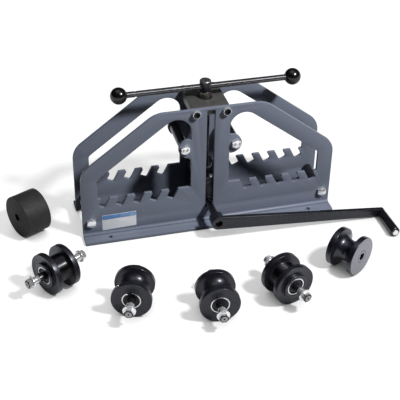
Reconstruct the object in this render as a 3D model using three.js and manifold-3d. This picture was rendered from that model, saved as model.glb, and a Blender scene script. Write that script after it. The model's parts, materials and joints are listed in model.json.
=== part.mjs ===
// A hand-cranked ring roller for bending tube, with the loose dies that go with it.
// Two folded side plates carry a lead screw and a yoke with the crank's shaft.
// Lengths are in millimetres. X runs along the plates, Y from the crank side to the back and Z up.
import * as THREE from "three";
import { mergeVertices } from "three/addons/utils/BufferGeometryUtils.js";
import Module from "manifold-3d";

const wasm = await Module();
wasm.setup();

// Fits and cuts
const seatGap = 0.3;
const runningGap = 0.3;
const cutOverrun = 3;
const weldDistance = 1e-4;

// Facets round a full turn, steps along a groove, and how far an outline's arc may stray from its facets
const dieFacets = 24;
const rodFacets = 14;
const smallFacets = 12;
const hexagonSides = 6;
const facetCorners = 3;
const grooveSteps = 4;
const arcSag = 0.35;

// Side plates
const plateLength = 520;
const plateHeight = 263.7;
const plateThickness = 6.4;
const frameWidth = 95.7;
const flangeReach = 29.7;
const bendRadius = 5;
const endHeight = 150.1;
const endCornerRadius = 43;
const topLengthShare = 0.42308;
const topCornerRadius = 50;

// Windows in the plates, each with a row of slots for the idler axles
const windowBottom = 87.7;
const windowInner = 38.9;
const windowEndBand = 31.8;
const topBeamWidth = 33.2;
const windowInnerRadius = 29.5;
const windowOuterRadius = 10;
const slotCount = 5;
const firstSlotX = 72.5;
const lastSlotInset = 16.74;
const slotDepth = 22;
const slotLeanDegrees = 26.1;
const slotEndRadius = 3.5;
const slotMouthRadius = 3;
const earX = 43.3;
const earDrop = 86.1;
const earRadius = 21;

// Guide slot for the shaft in the middle of each plate
const guideSlotBottom = 34;
const guideSlotTopBand = 4.9;
const guideSlotWidth = 16.5;
const guideSlotRadius = 3;

// Bench bolt holes in the flanges
const benchHoleInset = 51;
const benchHoleReach = 17.6;
const benchHoleRadius = 4.7;

// Nut block between the plates, and its cap screws
const blockLength = 75.4;
const blockHeight = 18.3;
const capScrewX = 30.4;
const capScrewDrop = 8.3;
const capScrewRadius = 5;
const capScrewHeadRadius = 8;
const capScrewHeadHeight = 7.4;
const capScrewDepth = 20;
const capSocketFlats = 8;
const capSocketDepth = 4.5;

// Spacer rods across the frame, and their hexagon bolts
const spacerRadius = 10;
const upperSpacerX = 51.75;
const upperSpacerDrop = 85.1;
const lowerSpacerInset = 17;
const lowerSpacerHeight = 35;
const frameBoltRadius = 5;
const frameBoltFlats = 17;
const frameBoltHeadHeight = 6.6;
const frameBoltDepth = 18;

// Lead screw in its bronze nut, with the sliding bar through its head; both heights count from the nut's top
const screwRadius = 10;
const screwHeadRadius = 10.8;
const screwHeadHeight = 22.1;
const screwHeadChamfer = 1.6;
const nutRadius = 12.3;
const nutCollarHeight = 13.4;
const barRadius = 6;
const barHeightOverNut = 8.9;
const barLeft = -171.1;
const barRight = 178.5;
const barGrooveX = -138;
const barGrooveWidth = 3;
const barGrooveRadius = 5.4;
const knobRadius = 16.7;
const knobSeatShare = 0.5;

// Yoke: two cheeks and a bridge that the lead screw pushes
const yokeSideGap = 0.35;
const cheekThickness = 10;
const cheekHalfLength = 26;
const cheekFoot = 19;
const cheekFootRadius = 14;
const dieHeadroom = 2.2;
const bridgeThickness = 12;
const bushWall = 2.2;
const screwFootFlange = 3.5;
const screwNeckRadius = 7;
const keeperRadius = 17;
const keeperLip = 5;
const screwPilotShare = 0.75;

// Drive shaft and crank
const shaftRadius = 8;
const shaftFlats = 13.8;
const shaftRise = 0.4;
const crankStandoff = 61;
const armThickness = 9;
const crankReach = 352;
const armHubRadius = 14.5;
const armTipHalfHeight = 9.4;
const armTipReach = 9.5;
const armTipRadius = 4.5;
const shaftEndRecess = 3.5;
const gripLength = 75;
const gripInnerRadius = 8.8;
const gripOuterRadius = 10.4;
const gripEdgeRadius = 2;
const gripRestGap = 0.2;
const gripBoltRadius = 4;
const gripBoltHeadRadius = 6;
const gripBoltHeadHeight = 5;
const gripBoltRecess = 3.5;

// Plain cylinder die and round-groove die for the drive shaft
const cylinderDieRadius = 42.7;
const cylinderDieWidth = 51.7;
const cylinderBossRadius = 14.5;
const cylinderBossHeight = 5;
const cylinderChamfer = 1.2;
const driveDieRadius = 38.5;
const driveDieWidth = 57.4;
const driveRimWidth = 11.2;
const driveGrooveDepth = 17;
const driveChamfer = 1;

// Round-groove idler die
const roundDieRadius = 37.7;
const roundDieWidth = 58.3;
const roundRimWidth = 10.5;
const roundGrooveDepth = 16.5;
const dieChamfer = 0.8;

// Flat-groove idler die
const flatDieRadius = 40.8;
const flatRimSpan = 51.4;
const flatRimWidth = 11;
const flatCoreRadius = 26.5;
const flatBossRadius = 24.5;
const flatBossHeight = 3.7;
const flatDishDepth = 2.4;

// Ball bearings, axles and axle bolts of the idler dies
const bearingRadius = 17.5;
const bearingWidth = 11;
const bearingRecess = 2.2;
const bearingShieldDepth = 0.6;
const bearingShieldShare = 0.28;
const dieCoreBoreRadius = 12.5;
const axleRadius = 7.5;
const axleBoltRadius = 5;
const axleBoltDepth = 16;
const axleShoulderLength = 12.5;
const axleWasherRadius = 12.2;
const axleWasherThickness = 3;
const axleHeadFlats = 16;
const axleHeadHeight = 8;

// Places on the bench from the machine's middle: X and Y as shares of the plates' length
const dieSpotShares = {
  cylinder_die: [-0.6927, 0.0081],
  round_drive_die: [0.4248, -0.5008],
  flat_idler_left: [-0.641, -0.3587],
  round_idler_left: [-0.3969, -0.5356],
  round_idler_right: [-0.1173, -0.6296],
  flat_idler_right: [0.1465, -0.6048],
};

// Headings of the dies' near ends
const dieHeadingDegrees = {
  cylinder_die: 205.5,
  round_drive_die: 305.1,
  flat_idler_left: 210,
  round_idler_left: 250.8,
  round_idler_right: 264.9,
  flat_idler_right: 285.7,
};

// Places, heights and depths that follow from the sizes above
const topHalfLength = (plateLength * topLengthShare) / 2;
const topSlope = (plateHeight - endHeight) / (plateLength / 2 - topHalfLength);
const windowOuter = plateLength / 2 - windowEndBand;
const slotPitch = (windowOuter - lastSlotInset - firstSlotX) / (slotCount - 1);
const earHeight = plateHeight - earDrop;
const guideSlotTop = plateHeight - guideSlotTopBand;
const benchHoleX = plateLength / 2 - benchHoleInset;
const capScrewHeight = plateHeight - capScrewDrop;
const upperSpacerHeight = plateHeight - upperSpacerDrop;
const lowerSpacerX = plateLength / 2 - lowerSpacerInset;
const innerHalfGap = frameWidth / 2 - plateThickness;
const shaftHeight = guideSlotBottom + shaftRadius + shaftRise;
const cheekOuterY = innerHalfGap - yokeSideGap;
const cheekInnerY = cheekOuterY - cheekThickness;
const bridgeBottom = shaftHeight + cylinderDieRadius + dieHeadroom;
const bridgeTop = bridgeBottom + bridgeThickness;
const nutTop = plateHeight + nutCollarHeight;
const barHeight = nutTop + barHeightOverNut;
const armBackY = -frameWidth / 2 - crankStandoff;
const armFrontY = armBackY - armThickness;
const crankDroop = Math.asin((shaftHeight - gripOuterRadius - gripRestGap) / crankReach);

// Paints and metals
const finishes = {
  greyPaint: { color: 0x646a72, roughness: 0.35, metalness: 0.1 },
  darkPaint: { color: 0x3f4138, roughness: 0.5, metalness: 0.2 },
  blackSteel: { color: 0x26272b, roughness: 0.35, metalness: 0.7 },
  zinc: { color: 0xc9ccd0, roughness: 0.28, metalness: 0.95 },
  darkZinc: { color: 0x75777a, roughness: 0.35, metalness: 0.9 },
  turnedSteel: { color: 0x8c8f96, roughness: 0.4, metalness: 0.85 },
  bronze: { color: 0x8a7448, roughness: 0.4, metalness: 0.85 },
  blackPlastic: { color: 0x101012, roughness: 0.2, metalness: 0 },
  gripPlastic: { color: 0x202125, roughness: 0.4, metalness: 0 },
};

// Solids

// A three.js geometry as a closed solid that can be joined and cut.
function solid(geometry) {
  const bare = new THREE.BufferGeometry();
  bare.setAttribute("position", geometry.getAttribute("position"));
  bare.setIndex(geometry.index);
  const merged = mergeVertices(bare, weldDistance);
  const corners = merged.index.array;
  const kept = [];
  for (let at = 0; at < corners.length; at += facetCorners) {
    const [a, b, c] = corners.subarray(at, at + facetCorners);
    if (a !== b && b !== c && c !== a) kept.push(a, b, c);
  }
  const vertProperties = merged.attributes.position.array;
  const triVerts = new Uint32Array(kept);
  return new wasm.Manifold(new wasm.Mesh({ numProp: 3, vertProperties, triVerts }));
}

// A finished solid as a named mesh.
function piece(name, finish, body) {
  const { numProp, numVert, vertProperties, triVerts } = body.getMesh();
  const places = new Float32Array(numVert * facetCorners);
  for (let at = 0; at < numVert; at += 1) {
    const from = at * numProp;
    places.set(vertProperties.subarray(from, from + facetCorners), at * facetCorners);
  }
  const indexed = new THREE.BufferGeometry();
  indexed.setAttribute("position", new THREE.BufferAttribute(places, facetCorners));
  indexed.setIndex(new THREE.BufferAttribute(triVerts, 1));
  const geometry = indexed.toNonIndexed();
  geometry.computeVertexNormals();
  const mesh = new THREE.Mesh(geometry, new THREE.MeshStandardMaterial(finishes[finish]));
  mesh.name = name;
  return mesh;
}

// Turns a geometry made round Y so that it runs along the named axis.
function laidAlong(axis, geometry) {
  if (axis === "x") geometry.rotateZ(-Math.PI / 2);
  if (axis === "z") geometry.rotateX(Math.PI / 2);
  return geometry;
}

// A round bar between two places on an axis; centre gives the two other coordinates in X, Y, Z order.
function rod(axis, radius, from, to, centre = [0, 0], facets = rodFacets) {
  const bar = laidAlong(axis, new THREE.CylinderGeometry(radius, radius, Math.abs(to - from), facets));
  const middle = (from + to) / 2;
  const [first, second] = centre;
  if (axis === "x") bar.translate(middle, first, second);
  if (axis === "y") bar.translate(first, middle, second);
  if (axis === "z") bar.translate(first, second, middle);
  return solid(bar);
}

// A hexagon bar, given by its width across flats.
function hexagon(axis, flats, from, to, centre = [0, 0]) {
  const reach = flats / 2 / Math.cos(Math.PI / hexagonSides);
  return rod(axis, reach, from, to, centre, hexagonSides);
}

// A turned piece: the profile holds pairs of radius and place on the axis, listed from low to high outside.
function turned(axis, profile, facets = rodFacets) {
  const points = profile.map(([radius, place]) => new THREE.Vector2(radius, place));
  return solid(laidAlong(axis, new THREE.LatheGeometry(points, facets)));
}

// A turned ring: its profile closes on itself.
function turnedRing(axis, profile, facets = rodFacets) {
  return turned(axis, [...profile, profile[0]], facets);
}

// An outline through corners of X, Y and an optional fillet radius.
function outline(corners) {
  const shape = new THREE.Shape();
  corners.forEach(([x, y, radius = 0], index) => {
    const before = corners.at(index - 1);
    const after = corners[(index + 1) % corners.length];
    const here = new THREE.Vector2(x, y);
    const incoming = new THREE.Vector2(x - before[0], y - before[1]).normalize();
    const outgoing = new THREE.Vector2(after[0] - x, after[1] - y).normalize();
    const turn = Math.atan2(incoming.cross(outgoing), incoming.dot(outgoing));
    const start = here.addScaledVector(incoming, -radius * Math.tan(Math.abs(turn) / 2));
    if (index === 0) shape.moveTo(start.x, start.y);
    else shape.lineTo(start.x, start.y);
    if (radius === 0) return;
    const inward = new THREE.Vector2(-incoming.y, incoming.x).multiplyScalar(Math.sign(turn) * radius);
    const centre = start.clone().add(inward);
    const steps = Math.ceil(Math.abs(turn) / (2 * Math.acos(1 - arcSag / radius)));
    for (let step = 1; step <= steps; step += 1) {
      const spoke = inward.clone().negate().rotateAround(new THREE.Vector2(), (turn * step) / steps);
      shape.lineTo(centre.x + spoke.x, centre.y + spoke.y);
    }
  });
  shape.closePath();
  return shape;
}

// An upright slab whose outline's second coordinate is its height, as thick as given.
function uprightSlab(shape, thickness) {
  return new THREE.ExtrudeGeometry(shape, { depth: thickness, bevelEnabled: false }).rotateX(Math.PI / 2);
}

// An outline in X and Z, made solid between two places on Y.
function slabAcross(shape, from, to) {
  return solid(uprightSlab(shape, to - from).translate(0, to, 0));
}

// An outline in Y and Z, made solid between two places on X.
function slabAlong(shape, from, to) {
  return solid(uprightSlab(shape, to - from).rotateZ(Math.PI / 2).translate(from, 0, 0));
}

// A block between two opposite corners.
function box(low, high) {
  const size = high.map((value, index) => value - low[index]);
  const middle = high.map((value, index) => (value + low[index]) / 2);
  const block = new THREE.BoxGeometry(...size);
  block.translate(...middle);
  return solid(block);
}

function cutAll(body, cutters) {
  return cutters.reduce((rest, cutter) => rest.subtract(cutter), body);
}

// A solid as it is for a positive side, and its mirror image across the middle for a negative one.
function mirrored(body, side, axis) {
  if (side > 0) return body;
  return body.mirror(axis === "x" ? [1, 0, 0] : [0, 1, 0]);
}

const sides = { left: -1, right: 1 };
const ends = { front: -1, rear: 1 };

// Side plates

// The window of the right side: idler slots hang from its lower edge.
function windowOutline() {
  const lean = THREE.MathUtils.degToRad(slotLeanDegrees);
  const halfMouth = axleSlotWidth() / 2 / Math.cos(lean);
  const drop = [Math.sin(lean) * slotDepth, -Math.cos(lean) * slotDepth];
  const across = [Math.cos(lean) * axleSlotWidth() / 2, Math.sin(lean) * axleSlotWidth() / 2];
  const corners = [[windowInner, windowBottom]];
  for (let index = 0; index < slotCount; index += 1) {
    const x = firstSlotX + index * slotPitch;
    const end = [x + drop[0], windowBottom + drop[1]];
    corners.push([x - halfMouth, windowBottom]);
    corners.push([end[0] - across[0], end[1] - across[1], slotEndRadius]);
    corners.push([end[0] + across[0], end[1] + across[1], slotEndRadius]);
    corners.push([x + halfMouth, windowBottom, slotMouthRadius]);
  }
  const beamDrop = topBeamWidth * Math.hypot(1, topSlope);
  const outerTop = endHeight + windowEndBand * topSlope - beamDrop;
  const innerTop = outerTop + (windowOuter - windowInner) * topSlope;
  corners.push([windowOuter, windowBottom]);
  corners.push([windowOuter, outerTop, windowOuterRadius]);
  corners.push([windowInner, innerTop, windowInnerRadius]);
  return outline(corners);
}

function axleSlotWidth() {
  return 2 * (axleRadius + runningGap / 2);
}

// The front plate stands at negative Y with its flange turned outward.
function sidePlate() {
  const outerY = -frameWidth / 2;
  const innerY = outerY + plateThickness;
  const section = outline([
    [innerY, 0, bendRadius + plateThickness],
    [innerY, plateHeight],
    [outerY, plateHeight],
    [outerY, plateThickness, bendRadius],
    [outerY - flangeReach, plateThickness],
    [outerY - flangeReach, 0],
  ]);
  const folded = slabAlong(section, -plateLength / 2, plateLength / 2);
  const profile = outline([
    [-plateLength / 2, 0],
    [plateLength / 2, 0],
    [plateLength / 2, endHeight, endCornerRadius],
    [topHalfLength, plateHeight, topCornerRadius],
    [-topHalfLength, plateHeight, topCornerRadius],
    [-plateLength / 2, endHeight, endCornerRadius],
  ]);
  const cutFrom = outerY - flangeReach - cutOverrun;
  const cutTo = innerY + cutOverrun;
  const cutShape = slabAcross(profile, cutFrom, cutTo);
  const ear = rod("y", earRadius, cutFrom, cutTo, [earX, earHeight], dieFacets);
  const opening = slabAcross(windowOutline(), cutFrom, cutTo).subtract(ear);
  const half = guideSlotWidth / 2;
  const guideSlot = slabAcross(
    outline([
      [-half, guideSlotBottom, guideSlotRadius],
      [half, guideSlotBottom, guideSlotRadius],
      [half, guideSlotTop, guideSlotRadius],
      [-half, guideSlotTop, guideSlotRadius],
    ]),
    cutFrom,
    cutTo,
  );
  const boltHole = frameBoltRadius + runningGap;
  const holes = Object.values(sides).flatMap((side) => [
    mirrored(opening, side, "x"),
    rod("y", capScrewRadius + runningGap, cutFrom, cutTo, [side * capScrewX, capScrewHeight], smallFacets),
    rod("y", boltHole, cutFrom, cutTo, [side * upperSpacerX, upperSpacerHeight], smallFacets),
    rod("y", boltHole, cutFrom, cutTo, [side * lowerSpacerX, lowerSpacerHeight], smallFacets),
    rod(
      "z",
      benchHoleRadius,
      -cutOverrun,
      plateThickness + cutOverrun,
      [side * benchHoleX, outerY - benchHoleReach],
      smallFacets,
    ),
  ]);
  return cutAll(folded.intersect(cutShape), [guideSlot, ...holes]);
}

// Nut block with the bronze nut of the lead screw
function nutBlock() {
  const y = innerHalfGap - seatGap;
  const bottom = plateHeight - blockHeight;
  const body = box([-blockLength / 2, -y, bottom], [blockLength / 2, y, plateHeight]);
  const nutBore = rod("z", nutRadius + seatGap, bottom - cutOverrun, plateHeight + cutOverrun);
  const holes = Object.values(sides).flatMap((side) =>
    Object.values(ends).map((end) =>
      rod(
        "y",
        capScrewRadius + runningGap,
        end * (y - capScrewDepth),
        end * (y + cutOverrun),
        [side * capScrewX, capScrewHeight],
        smallFacets,
      ),
    ),
  );
  return cutAll(body, [nutBore, ...holes]);
}

function screwNut() {
  const bottom = plateHeight - blockHeight;
  const bore = screwRadius + runningGap;
  return turnedRing("z", [
    [bore, bottom],
    [nutRadius, bottom],
    [nutRadius, nutTop],
    [bore, nutTop],
  ]);
}

// A socket cap screw that points to +Y, its head's seat at Y zero.
function capScrew() {
  const shank = capScrewDepth + plateThickness - seatGap;
  const head = rod("y", capScrewHeadRadius, -capScrewHeadHeight, 0);
  const stem = rod("y", capScrewRadius, -capScrewHeadHeight / 2, shank, [0, 0], smallFacets);
  const socketFloor = capSocketDepth - capScrewHeadHeight;
  const socket = hexagon("y", capSocketFlats, -capScrewHeadHeight - cutOverrun, socketFloor);
  return head.add(stem).subtract(socket);
}

// A hexagon bolt that points to +Y, its head's seat at Y zero.
function frameBolt() {
  const shank = frameBoltDepth + plateThickness - seatGap;
  const head = hexagon("y", frameBoltFlats, -frameBoltHeadHeight, 0);
  return head.add(rod("y", frameBoltRadius, -frameBoltHeadHeight / 2, shank, [0, 0], smallFacets));
}

// A round spacer across the frame, tapped at both ends.
function spacer() {
  const end = innerHalfGap - seatGap;
  const bore = frameBoltRadius + runningGap;
  const deep = end - frameBoltDepth - seatGap;
  return turned("y", [
    [0, -deep],
    [bore, -deep],
    [bore, -end],
    [spacerRadius, -end],
    [spacerRadius, end],
    [bore, end],
    [bore, deep],
    [0, deep],
  ]);
}

// Lead screw, its sliding bar and ball knobs
function leadScrew() {
  const footBottom = bridgeTop - bridgeThickness * screwPilotShare;
  const flangeBottom = bridgeTop + seatGap;
  const flangeTop = flangeBottom + screwFootFlange;
  const neckTop = flangeTop + keeperLip + 2 * seatGap;
  const headBottom = nutTop + seatGap;
  const headTop = nutTop + screwHeadHeight;
  const body = turned("z", [
    [0, footBottom],
    [screwNeckRadius, footBottom],
    [screwNeckRadius, flangeBottom],
    [screwRadius, flangeBottom],
    [screwRadius, flangeTop],
    [screwNeckRadius, flangeTop],
    [screwNeckRadius, neckTop],
    [screwRadius, neckTop],
    [screwRadius, headBottom],
    [screwHeadRadius, headBottom],
    [screwHeadRadius, headTop - screwHeadChamfer],
    [screwHeadRadius - screwHeadChamfer, headTop],
    [0, headTop],
  ]);
  const reach = screwHeadRadius + cutOverrun;
  return body.subtract(rod("x", barRadius + runningGap, -reach, reach, [0, barHeight]));
}

function tommyBar() {
  const inset = knobRadius * knobSeatShare;
  return turned("x", [
    [0, barLeft - inset],
    [barRadius, barLeft - inset],
    [barRadius, barGrooveX - barGrooveWidth],
    [barGrooveRadius, barGrooveX - barGrooveWidth / 2],
    [barGrooveRadius, barGrooveX + barGrooveWidth / 2],
    [barRadius, barGrooveX + barGrooveWidth],
    [barRadius, barRight + inset],
    [0, barRight + inset],
  ]);
}

// A ball with a blind hole that opens to +X.
function ballKnob() {
  const bore = barRadius + seatGap;
  const deep = -knobRadius * knobSeatShare - seatGap;
  const mouth = Math.asin(bore / knobRadius);
  const steps = rodFacets / 2;
  const points = Array.from({ length: steps + 1 }, (_, index) => {
    const angle = Math.PI - (index / steps) * (Math.PI - mouth);
    return [knobRadius * Math.sin(angle), knobRadius * Math.cos(angle)];
  });
  points[0][0] = 0;
  return turned("x", [...points, [bore, deep], [0, deep]]);
}

// Yoke
function yokeCheek() {
  const foot = shaftHeight - cheekFoot;
  const shape = outline([
    [-cheekHalfLength, foot, cheekFootRadius],
    [cheekHalfLength, foot, cheekFootRadius],
    [cheekHalfLength, bridgeBottom - seatGap],
    [-cheekHalfLength, bridgeBottom - seatGap],
  ]);
  const bore = rod(
    "y",
    shaftRadius + runningGap + bushWall + seatGap,
    -cheekOuterY - cutOverrun,
    -cheekInnerY + cutOverrun,
    [0, shaftHeight],
  );
  return slabAcross(shape, -cheekOuterY, -cheekInnerY).subtract(bore);
}

function yokeBush() {
  const bore = shaftRadius + runningGap;
  return turnedRing("y", [
    [bore, -cheekOuterY],
    [bore + bushWall, -cheekOuterY],
    [bore + bushWall, -cheekInnerY],
    [bore, -cheekInnerY],
  ]);
}

function yokeBridge() {
  const body = box(
    [-cheekHalfLength, -cheekOuterY, bridgeBottom],
    [cheekHalfLength, cheekOuterY, bridgeTop],
  );
  const pilotBottom = bridgeTop - bridgeThickness * screwPilotShare - seatGap;
  return body.subtract(rod("z", screwNeckRadius + runningGap, pilotBottom, bridgeTop + cutOverrun));
}

// The keeper clips over the screw's foot, so that the screw lifts the yoke as well.
function screwKeeper() {
  const bottom = bridgeTop + seatGap;
  const lip = bottom + screwFootFlange + seatGap;
  return turnedRing("z", [
    [screwRadius + runningGap, bottom],
    [keeperRadius, bottom],
    [keeperRadius, lip + keeperLip],
    [screwNeckRadius + runningGap, lip + keeperLip],
    [screwNeckRadius + runningGap, lip],
    [screwRadius + runningGap, lip],
  ]);
}

// Crank, made round its own axis with the arm along +X
function driveShaft() {
  const frontEnd = armFrontY + shaftEndRecess;
  const hexBar = hexagon("y", shaftFlats, frontEnd, cheekOuterY);
  const journals = Object.values(ends).map((end) => {
    const near = end * (cheekInnerY - seatGap);
    return rod("y", shaftRadius, near, end * frameWidth / 2);
  });
  return journals.reduce((body, journal) => body.add(journal), hexBar);
}

function crankArm() {
  const tipX = crankReach + armTipReach;
  const tangentTurn = Math.acos((armHubRadius - armTipHalfHeight) / tipX);
  const tangent = [armHubRadius * Math.cos(tangentTurn), armHubRadius * Math.sin(tangentTurn)];
  const bar = slabAcross(
    outline([
      [tangent[0], -tangent[1]],
      [tipX, -armTipHalfHeight, armTipRadius],
      [tipX, armTipHalfHeight, armTipRadius],
      [tangent[0], tangent[1]],
    ]),
    armFrontY,
    armBackY,
  );
  const hub = rod("y", armHubRadius, armFrontY, armBackY, [0, 0], dieFacets);
  const from = armFrontY - cutOverrun;
  const to = armBackY + cutOverrun;
  const socket = hexagon("y", shaftFlats + 2 * runningGap, from, to);
  const boltHole = rod("y", gripBoltRadius + seatGap, from, to, [crankReach, 0], smallFacets);
  return cutAll(bar.add(hub), [socket, boltHole]);
}

// The grip's profile runs from its outer end to the arm; it widens outward.
function crankGrip() {
  const near = armFrontY - seatGap;
  const far = near - gripLength;
  const bore = gripBoltRadius + runningGap;
  const mouth = gripBoltHeadRadius + runningGap;
  const seat = far + gripBoltRecess;
  return turnedRing("y", [
    [mouth, seat],
    [mouth, far],
    [gripOuterRadius - gripEdgeRadius, far],
    [gripOuterRadius, far + gripEdgeRadius],
    [gripInnerRadius, near - gripEdgeRadius / 2],
    [gripInnerRadius - gripEdgeRadius / 2, near],
    [bore, near],
    [bore, seat],
  ]);
}

function gripBolt() {
  const seat = armFrontY - seatGap - gripLength + gripBoltRecess - seatGap;
  const head = rod("y", gripBoltHeadRadius, seat - gripBoltHeadHeight, seat);
  return head.add(rod("y", gripBoltRadius, seat - gripBoltHeadHeight / 2, armBackY, [0, 0], smallFacets));
}

// Dies: each turns round X, with its middle at the origin

// Half of a round-groove profile from the middle of the groove to the outer face.
function roundGroove(radius, width, rimWidth, depth) {
  const half = width / 2 - rimWidth;
  const sweep = (half * half + depth * depth) / (2 * depth);
  const turn = Math.asin(half / sweep);
  return Array.from({ length: grooveSteps + 1 }, (_, index) => {
    const angle = (index / grooveSteps) * turn;
    return [radius - depth + sweep * (1 - Math.cos(angle)), sweep * Math.sin(angle)];
  });
}

// The outside of a die from its middle to its end, as pairs of radius and place.
function roundOutside(radius, width, rimWidth, depth, chamfer) {
  const end = width / 2;
  return [
    ...roundGroove(radius, width, rimWidth, depth),
    [radius, end - chamfer],
    [radius - chamfer, end],
  ];
}

function flatOutside() {
  const rim = flatRimSpan / 2;
  return [
    [flatCoreRadius, 0],
    [flatCoreRadius, rim - flatRimWidth],
    [flatDieRadius, rim - flatRimWidth],
    [flatDieRadius, rim - dieChamfer],
    [flatDieRadius - dieChamfer, rim],
    [flatBossRadius, rim - flatDishDepth],
    [flatBossRadius, rim + flatBossHeight],
  ];
}

function cylinderOutside() {
  const rim = cylinderDieWidth / 2;
  return [
    [cylinderDieRadius, 0],
    [cylinderDieRadius, rim - cylinderChamfer],
    [cylinderDieRadius - cylinderChamfer, rim],
    [cylinderBossRadius, rim],
    [cylinderBossRadius, rim + cylinderBossHeight],
  ];
}

// Both halves of a profile, from the low end to the high end; the middle point isn't doubled.
function bothHalves(half) {
  const low = half.slice(1).map(([radius, place]) => [radius, -place]);
  return [...low.reverse(), ...half.slice(1)];
}

// A die for the drive shaft: solid, with a hexagon bore.
function driveDie(outside) {
  const end = outside.at(-1)[1];
  const body = turned("x", [[0, -end], ...bothHalves(outside), [0, end]], dieFacets);
  return body.subtract(hexagon("x", shaftFlats + 2 * runningGap, -end - cutOverrun, end + cutOverrun));
}

// An idler die: a seat for a bearing at each end and a wider core bore between them.
function idlerDie(outside) {
  const end = outside.at(-1)[1];
  const seat = bearingRadius + seatGap;
  const shoulder = end - bearingRecess - bearingWidth - seatGap;
  return turnedRing(
    "x",
    [
      ...bothHalves(outside),
      [seat, end],
      [seat, shoulder],
      [dieCoreBoreRadius, shoulder],
      [dieCoreBoreRadius, -shoulder],
      [seat, -shoulder],
      [seat, -end],
    ],
    dieFacets,
  );
}

// A ball bearing with a sunk shield on its outer face, which looks to +X.
function bearing() {
  const inner = axleRadius + runningGap;
  const land = (bearingRadius - inner) * bearingShieldShare;
  const sunk = bearingWidth / 2 - bearingShieldDepth;
  const face = bearingWidth / 2;
  const profile = [
    [inner, -face],
    [bearingRadius, -face],
    [bearingRadius, face],
    [bearingRadius - land, face],
    [bearingRadius - land, sunk],
    [inner + land, sunk],
    [inner + land, face],
    [inner, face],
  ];
  return turnedRing("x", profile, smallFacets);
}

function idlerAxle() {
  const end = innerHalfGap - seatGap;
  const bore = axleBoltRadius + seatGap;
  const deep = end - axleBoltDepth - seatGap;
  const profile = [
    [0, -deep],
    [bore, -deep],
    [bore, -end],
    [axleRadius, -end],
    [axleRadius, end],
    [bore, end],
    [bore, deep],
    [0, deep],
  ];
  return turned("x", profile, smallFacets);
}

// A shoulder bolt with its washer, at the +X end of an axle.
function axleBolt() {
  const seat = innerHalfGap;
  const shoulder = seat + axleShoulderLength;
  const washer = shoulder + axleWasherThickness;
  const profile = [
    [0, seat - axleBoltDepth],
    [axleBoltRadius, seat - axleBoltDepth],
    [axleBoltRadius, seat],
    [axleRadius, seat],
    [axleRadius, shoulder],
    [axleWasherRadius, shoulder],
    [axleWasherRadius, washer],
    [0, washer],
  ];
  const stem = turned("x", profile, smallFacets);
  return stem.add(hexagon("x", axleHeadFlats, washer - axleWasherThickness / 2, washer + axleHeadHeight));
}

// Assembly
const ringRoller = new THREE.Group();
const machine = new THREE.Group();
ringRoller.add(machine);

const plateBody = sidePlate();
machine.add(piece("front_side_plate", "greyPaint", plateBody));
machine.add(piece("rear_side_plate", "greyPaint", mirrored(plateBody, -1, "y")));
machine.add(piece("nut_block", "darkPaint", nutBlock()));
machine.add(piece("screw_nut", "bronze", screwNut()));

// Turns a fastener that points to +Y to the wanted end of the frame and seats it outside the plate.
function placeFastener(mesh, x, z, end) {
  if (end > 0) mesh.rotation.z = Math.PI;
  mesh.position.set(x, end * (frameWidth / 2 + seatGap), z);
  machine.add(mesh);
}

for (const [sideName, side] of Object.entries(sides)) {
  const spacerPlaces = {
    upper: [side * upperSpacerX, upperSpacerHeight],
    lower: [side * lowerSpacerX, lowerSpacerHeight],
  };
  for (const [level, [x, z]] of Object.entries(spacerPlaces)) {
    const rodMesh = piece(`${level}_spacer_${sideName}`, "blackSteel", spacer());
    rodMesh.position.set(x, 0, z);
    machine.add(rodMesh);
    for (const [endName, end] of Object.entries(ends)) {
      placeFastener(piece(`${level}_bolt_${endName}_${sideName}`, "zinc", frameBolt()), x, z, end);
    }
  }
  for (const [endName, end] of Object.entries(ends)) {
    const screw = piece(`block_screw_${endName}_${sideName}`, "zinc", capScrew());
    placeFastener(screw, side * capScrewX, capScrewHeight, end);
  }
}

machine.add(piece("lead_screw", "blackSteel", leadScrew()));
const bar = piece("tommy_bar", "blackSteel", tommyBar());
bar.position.z = barHeight;
machine.add(bar);
for (const [sideName, x] of Object.entries({ left: barLeft, right: barRight })) {
  const knob = piece(`ball_knob_${sideName}`, "blackPlastic", ballKnob());
  knob.position.set(x, 0, barHeight);
  if (sideName === "right") knob.rotation.z = Math.PI;
  machine.add(knob);
}

for (const [endName, end] of Object.entries(ends)) {
  machine.add(piece(`yoke_${endName}_cheek`, "blackSteel", mirrored(yokeCheek(), -end, "y")));
  const bush = piece(`yoke_${endName}_bush`, "bronze", mirrored(yokeBush(), -end, "y"));
  bush.position.z = shaftHeight;
  machine.add(bush);
}
machine.add(piece("yoke_bridge", "blackSteel", yokeBridge()));
machine.add(piece("screw_keeper", "darkZinc", screwKeeper()));

const crank = new THREE.Group();
crank.position.z = shaftHeight;
crank.rotation.y = crankDroop;
machine.add(crank);
crank.add(piece("drive_shaft", "blackSteel", driveShaft()));
crank.add(piece("crank_arm", "blackSteel", crankArm()));
const grip = piece("crank_grip", "gripPlastic", crankGrip());
grip.position.x = crankReach;
crank.add(grip);
const gripScrew = piece("grip_bolt", "zinc", gripBolt());
gripScrew.position.x = crankReach;
crank.add(gripScrew);

// A group that stands a die of the given radius on its rim at its spot on the bench.
function diePlace(name, radius) {
  const [xShare, yShare] = dieSpotShares[name];
  const place = new THREE.Group();
  place.position.set(xShare * plateLength, yShare * plateLength, radius);
  place.rotation.z = THREE.MathUtils.degToRad(dieHeadingDegrees[name]);
  machine.add(place);
  return place;
}

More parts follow.
